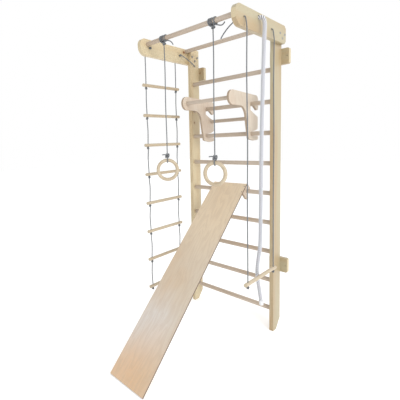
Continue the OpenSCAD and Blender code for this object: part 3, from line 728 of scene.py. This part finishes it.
def rung_knot(x, y, z, turn):
    """The knot that holds up a drilled dowel, whose middle is at z."""
    return knot_geometry(Vector((x, y, z - RUNG_KNOT_DROP)), UP, RUNG_KNOT_R, RUNG_KNOT_TALL, turn)


ladder_x = middle("ladder_rung_1").x
cord_piece("ladder_knots", [rung_knot(ladder_x, y, middle(f"ladder_rung_{i}").z, 1.3 * i + 9 * y)
                            for i in range(1, 9) for y in hole_ys.values()])
stick = middle("trapeze_stick")
cord_piece("trapeze_knots", [rung_knot(stick.x, y, stick.z, 5 * y) for y in hole_ys.values()])

stoppers = []
for side in (LEFT, RIGHT):
    for y in hole_ys.values():
        knot = Vector((side * (arm_inner - STOPPER_IN), y, cord_hole_z))
        through = Vector((side * (arm_face - 0.003), y, cord_hole_z))
        stoppers.append(knot_geometry(knot, WIDE, STOPPER_R, STOPPER_TALL, 7 * y))
        stoppers.append(cord_tube(straight(knot, through)))
cord_piece("cord_stopper_knots", stoppers)


def winding(place):
    """Turns of cord round the front bar: three side by side, then one apart, down into the knot."""
    knot = bar_knots[place]
    radius = bar_r + TURN_GAP + CORD / 2
    # (turns so far, place along the bar)
    stops = [(-0.10, -0.0265), (0.75, -0.0255), (1.75, -0.0140), (2.75, -0.0010), (3.35, 0.0090),
             (3.75, 0.0180), (4.25, 0.0225), (4.90, 0.0180)]
    path = []
    for (turn_a, x_a), (turn_b, x_b) in zip(stops, stops[1:]):
        for k in range(24):
            t = k / 24
            angle = 2 * math.pi * (turn_a + (turn_b - turn_a) * t)
            across = x_a + (x_b - x_a) * t * t * (3 - 2 * t)
            y, z = bar_y + radius * math.sin(angle), bar_z - radius * math.cos(angle)
            path.append(Vector((knot.x + across, y, z)))
    return smooth_path(path, CORD_STEP)


for place in SIDES:
    knot = bar_knots[place]
    wound = winding(place)
    ends = [smooth_path([end, end.lerp(knot, 0.5) - sag * UP, knot], CORD_STEP)
            for end, sag in ((wound[0], 0.004), (wound[-1], 0.003))]
    down = straight(knot, knot - 0.006 * UP)
    tubes = [cord_tube(path) for path in (wound, *ends, down)]
    tied = knot_geometry(knot, WIDE, BAR_KNOT_R, BAR_KNOT_TALL, 0.5, CORD / 2)
    cord_piece(f"bar_knot_{place}", [*tubes, tied])

for place, turned_by in RING_TURNS.items():
    x, high = bar_knots[place].x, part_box(f"ring_knot_{place}")[1][2]
    ring_top = Vector((x, bar_y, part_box(f"ring_{place}")[1][2] - ring_section / 2))
    tangent = Matrix.Rotation(math.radians(turned_by), 3, "Z") @ WIDE
    over = ring_section / 2 + TURN_GAP + CORD / 2
    loop = []
    for k in range(LOOP_POINTS):
        t = 2 * math.pi * k / LOOP_POINTS
        round_ring = math.cos(t) * UP + math.sin(t) * tangent.cross(UP)
        loop.append(ring_top + over * round_ring + LOOP_SLANT * math.sin(t) * tangent)
    knot = ring_top + (ring_section / 2 + RING_KNOT_UP) * UP
    tail = smooth_path([knot + Vector(p) for p in RING_TAIL_ROUTE], CORD_STEP)
    cord_piece(f"ring_knot_{place}", [
        cord_tube(tail),
        cord_tube(straight(Vector((x, bar_y, high)), knot)),
        cord_tube(loop, closed=True),
        knot_geometry(knot, UP, RING_KNOT_R, RING_KNOT_TALL, 0.8, 0.0044)])

knot_low, knot_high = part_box("climbing_rope_knot")
rope_knot = Vector((knot_low[0] + ROPE_KNOT_R, rope_hole_y, rope_hole_z))
knot_path = trefoil(rope_knot, WIDE, ROPE_KNOT_R, ROPE_KNOT_STRAND, ROPE_KNOT_TALL, 0.4)
around = path_length(knot_path) + (knot_path[0] - knot_path[-1]).length
out_of_knot = straight(rope_knot, Vector((knot_high[0], rope_hole_y, rope_hole_z)), ROPE_STEP)
cord_piece("climbing_rope_knot", [
    tube_geometry(knot_path, laid(ROPE_KNOT_STRAND, pitch=around / 5), 24, closed=True),
    tube_geometry(out_of_knot, laid(ROPE / 2), ROPE_SIDES)], WHITE_ROPE)


# ---- Turned parts ----


def turned(rings):
    """(vertices, faces, uvs) round local Z from (radius, height) rings. A radius may depend on the angle."""
    sides = 48
    vertices, faces, uvs = [], [], []
    for radius, height in rings:
        for k in range(sides):
            angle = 2 * math.pi * k / sides
            r = radius(angle) if callable(radius) else radius
            vertices.append(Vector((r * math.cos(angle), r * math.sin(angle), height)))
    for i in range(len(rings) - 1):
        for k in range(sides):
            m = (k + 1) % sides
            faces.append((i * sides + k, i * sides + m, (i + 1) * sides + m, (i + 1) * sides + k))
            uvs += [(i, k), (i, k + 1), (i + 1, k + 1), (i + 1, k)]
    last = (len(rings) - 1) * sides
    faces += [tuple(range(sides - 1, -1, -1)), tuple(range(last, last + sides))]
    uvs += [(0, 0)] * sides * 2
    return vertices, faces, uvs


def placed(geometry, origin, axis):
    """The turned geometry with its local Z along axis."""
    vertices, faces, uvs = geometry
    turn = axis.to_track_quat("Z", "Y").to_matrix()
    return [origin + turn @ v for v in vertices], faces, uvs


def hexagon(flat):
    """Radius of a hexagon, flat metres from its middle to each side."""
    return lambda angle: flat / math.cos(angle % (math.pi / 3) - math.pi / 6)


def star(radius):
    """Radius of a six-lobed screw recess."""
    return lambda angle: radius * (1 + 0.14 * math.cos(6 * angle))


def metal_piece(node, parts):
    mesh = mesh_of(node, parts, STEEL)
    smooth(mesh, 30)
    obj = new_object(node + "_look", mesh, node)
    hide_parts(node)
    return obj


BOLT_SPOTS = [(0.021, 0.064), (0.093, 0.064), (0.058, 0.096)]
post_rear, post_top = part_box("post_right")[1][1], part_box("post_right")[1][2]
bolt_places = [(side, post_rear - back, post_top - down)
               for side in (LEFT, RIGHT) for back, down in BOLT_SPOTS]
BOLT_RINGS = [
    (0.0036, -0.0710), (0.0040, -0.0700), (0.0040, -0.0003), (0.0088, -0.0001), (0.0090, 0.0002),
    (0.0090, 0.0008), (0.0087, 0.0016), (0.0080, 0.0026), (0.0068, 0.0036), (0.0054, 0.0043),
    (hexagon(0.0030), 0.0048), (hexagon(0.0027), 0.0047), (hexagon(0.0025), 0.0044),
    (hexagon(0.0025), 0.0016), (0.0004, 0.0012)]
metal_piece("arm_bolts", [placed(turned(BOLT_RINGS), Vector((side * arm_face, y, z)), side * WIDE)
                          for side, y, z in bolt_places])
WASHER_RINGS = [
    (0.0041, 0.0001), (0.0098, 0.0001), (0.0100, 0.0003), (0.0100, 0.0013), (0.0098, 0.0015),
    (0.0041, 0.0015), (0.0041, 0.0001)]
NUT_RINGS = [
    (0.0041, 0.0016), (hexagon(0.0058), 0.0016), (hexagon(0.0064), 0.0020), (hexagon(0.0064), 0.0072),
    (hexagon(0.0060), 0.0077), (0.0058, 0.0080), (0.0046, 0.0080), (0.0041, 0.0076), (0.0041, 0.0016)]


def tube_ring(rings):
    """A turned ring with a hole through it. Its first and last rings are the same, and no end is closed."""
    vertices, faces, uvs = turned(rings[:-1])
    sides = len(vertices) // (len(rings) - 1)
    last = (len(rings) - 2) * sides
    faces, uvs = faces[:-2], uvs[:-2 * sides]
    for k in range(sides):
        m = (k + 1) % sides
        faces.append((last + k, last + m, m, k))
        uvs += [(9, k), (9, k + 1), (0, k + 1), (0, k)]
    return vertices, faces, uvs


post_inner, post_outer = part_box("post_right")[0][0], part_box("post_right")[1][0]
metal_piece("arm_nuts", [placed(tube_ring(rings), Vector((side * post_inner, y, z)), -side * WIDE)
                         for side, y, z in bolt_places for rings in (WASHER_RINGS, NUT_RINGS)])


def screw_rings(head, shank, length):
    """A countersunk screw, its head's face at zero and its tip down at -length."""
    return [(0.0003, -length), (shank * 0.9, 0.006 - length), (shank, 0.007 - length), (shank, -0.0030),
            (head, -0.0002), (head - 0.0002, 0), (star(head * 0.46), 0), (star(head * 0.42), -0.0003),
            (star(head * 0.38), -0.0020), (0.0004, -0.0023)]


block_x = (post_inner + post_outer) / 2
block_zs = [middle("wall_block_upper_left").z, middle("wall_block_lower_left").z]
screw_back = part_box("block_screws")[1][1]
screw_spread = 0.032
metal_piece("block_screws", [
    placed(turned(screw_rings(0.0050, 0.0025, 0.0618)), Vector((side * block_x, screw_back, z + off)), DEEP)
    for side in (LEFT, RIGHT) for z in block_zs for off in (-screw_spread, screw_spread)])

hook_x = abs(middle("slide_hook_right").x)
board_lift, board_t, sunk = 0.036, 0.010, 0.0003
screw_head = rung_axis + (board_lift + board_t - sunk) * board_face
metal_piece("slide_screws", [
    placed(turned(screw_rings(0.0040, 0.0020, 0.0277)),
           screw_head + side * hook_x * WIDE + along * slide_up, board_face)
    for side in (LEFT, RIGHT) for along in (-0.046, 0.012)])

END_RINGS = [
    (0.0137, 0), (0.0145, 0.0004), (0.0145, 0.0030), (0.0142, 0.0080), (0.0144, 0.0150),
    (0.0142, 0.0230), (0.0145, 0.0300), (0.0141, 0.0325), (0.0130, 0.0337), (0.0105, 0.0340)]
end_axis = (rope_path[-1] - rope_path[-2]).normalized()
rope_end = cord_piece("climbing_rope_end", [placed(turned(END_RINGS), rope_path[-1], end_axis)], FILM)
rope_end.name = "climbing_rope_end"

# ---- Stage ----

floor = bpy.data.objects.new("floor", bpy.data.meshes.new("floor"))
floor.data.from_pydata([(-20, -20, 0), (20, -20, 0), (20, 20, 0), (-20, 20, 0)], [], [(0, 1, 2, 3)])
bpy.context.collection.objects.link(floor)
paint = Graph("pale_floor", **{"Emission Color": (1, 1, 1), "Emission Strength": 0.25})
paper = paint.noise(paint.add("ShaderNodeTexCoord").outputs["Object"], 40.0, 2.0)
mottled = paint.mix(paper, (0.93, 0.93, 0.93), (0.95, 0.95, 0.95))
floor.data.materials.append(paint.finish(mottled, 0.9, paper, 0.0001))

# White behind the object as the photo sees it, and a little darker on the side of the camera
world = bpy.data.worlds.new("studio")
bpy.context.scene.world = world
world.use_nodes = True
sky = world.node_tree
towards = sky.nodes.new("ShaderNodeVectorMath")
towards.operation = "DOT_PRODUCT"
towards.inputs[1].default_value = (0.25, 0.97, 0.0)
fade = sky.nodes.new("ShaderNodeMapRange")
for socket, value in zip(fade.inputs[1:5], (-0.7, 0.1, 0.72, 1.0)):
    socket.default_value = value
sky.links.new(sky.nodes.new("ShaderNodeTexCoord").outputs["Generated"], towards.inputs[0])
sky.links.new(towards.outputs["Value"], fade.inputs[0])
sky.links.new(fade.outputs[0], sky.nodes["Background"].inputs["Strength"])
sky.nodes["Background"].inputs["Color"].default_value = (1, 1, 1, 1)


def soft_lamp(name, place, target, width, power):
    """A square lamp, width metres wide, that faces the target."""
    lamp = bpy.data.lights.new(name, "AREA")
    lamp.shape = "SQUARE"
    lamp.size = width
    lamp.energy = power
    obj = bpy.data.objects.new(name, lamp)
    obj.location = place
    obj.rotation_euler = (Vector(target) - Vector(place)).to_track_quat("-Z", "Y").to_euler()
    bpy.context.collection.objects.link(obj)


soft_lamp("key", (4.6, -1.6, 3.4), (0, 0.2, 1.1), 2.6, 120)
bpy.context.scene.view_settings.view_transform = "Standard"
